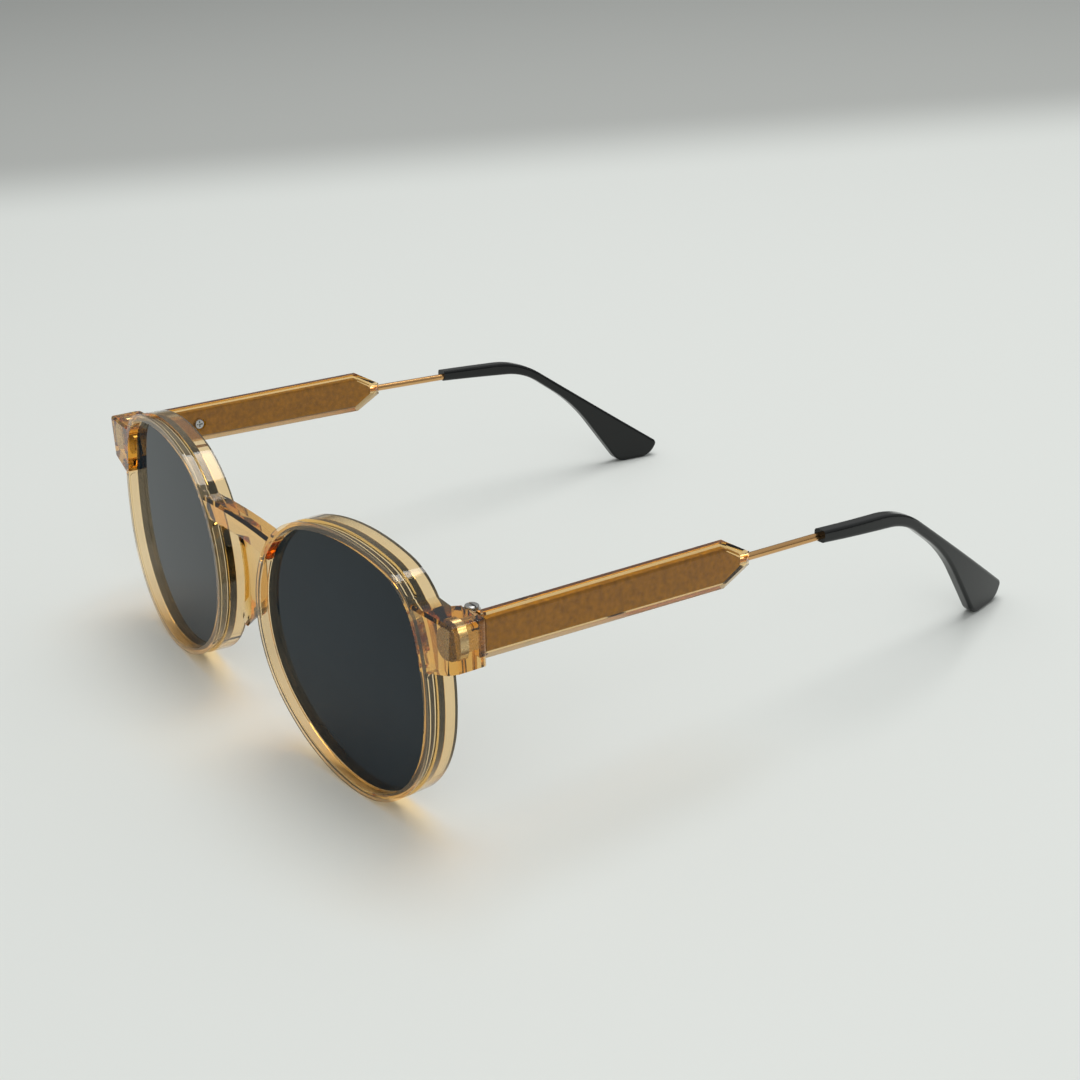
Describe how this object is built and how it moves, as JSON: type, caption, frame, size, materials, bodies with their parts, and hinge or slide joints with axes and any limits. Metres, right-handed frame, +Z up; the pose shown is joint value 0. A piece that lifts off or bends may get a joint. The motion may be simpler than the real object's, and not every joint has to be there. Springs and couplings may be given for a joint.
{
  "type": "sunglasses",
  "caption": "Round keyhole sunglasses with a clear tinted front, flat dark lenses, folding clear temples over gilt cores, bare wire shanks and black paddle tips.",
  "frame": {"origin": "middle of the box around the open sunglasses, on the surface they stand on", "axes": "+X to the wearer's left, +Y from the front back along the open temples, +Z up; the front faces -Y"},
  "size_m": [0.1412, 0.1506, 0.0509],
  "materials": {
    "front": "clear champagne plastic, polished",
    "lens": "dark blue-grey tint, polished",
    "sleeve": "clear champagne plastic, polished",
    "core": "gilt sheet, fine grain",
    "wire": "polished gilt",
    "tip": "black, glossy",
    "hinge": "stamped and tumbled",
    "screw": "bright"
  },
  "bodies": {
    "front": {"front_frame": "front", "lens_left": "lens", "lens_right": "lens", "hinge_front_leaf_left": "hinge", "hinge_front_leaf_right": "hinge", "hinge_screw_left": "screw", "hinge_screw_right": "screw"},
    "left_temple": {"hinge_temple_leaf_left": "core", "temple_sleeve_left": "sleeve", "temple_core_left": "core", "temple_wire_left": "wire", "temple_screw_left": "screw", "temple_tip_left": "tip"},
    "right_temple": {"hinge_temple_leaf_right": "core", "temple_sleeve_right": "sleeve", "temple_core_right": "core", "temple_wire_right": "wire", "temple_screw_right": "screw", "temple_tip_right": "tip"}
  },
  "joints": [
    {"name": "left_temple_fold", "type": "hinge", "parent": "front", "child": "left_temple", "pos_m": [0.0644, -0.06144, 0.03966], "axis": [0, 0.0489, 0.9988], "range_deg": [0, 88]},
    {"name": "right_temple_fold", "type": "hinge", "parent": "front", "child": "right_temple", "pos_m": [-0.0644, -0.06144, 0.03966], "axis": [0, -0.0489, -0.9988], "range_deg": [0, 77]}
  ]
}
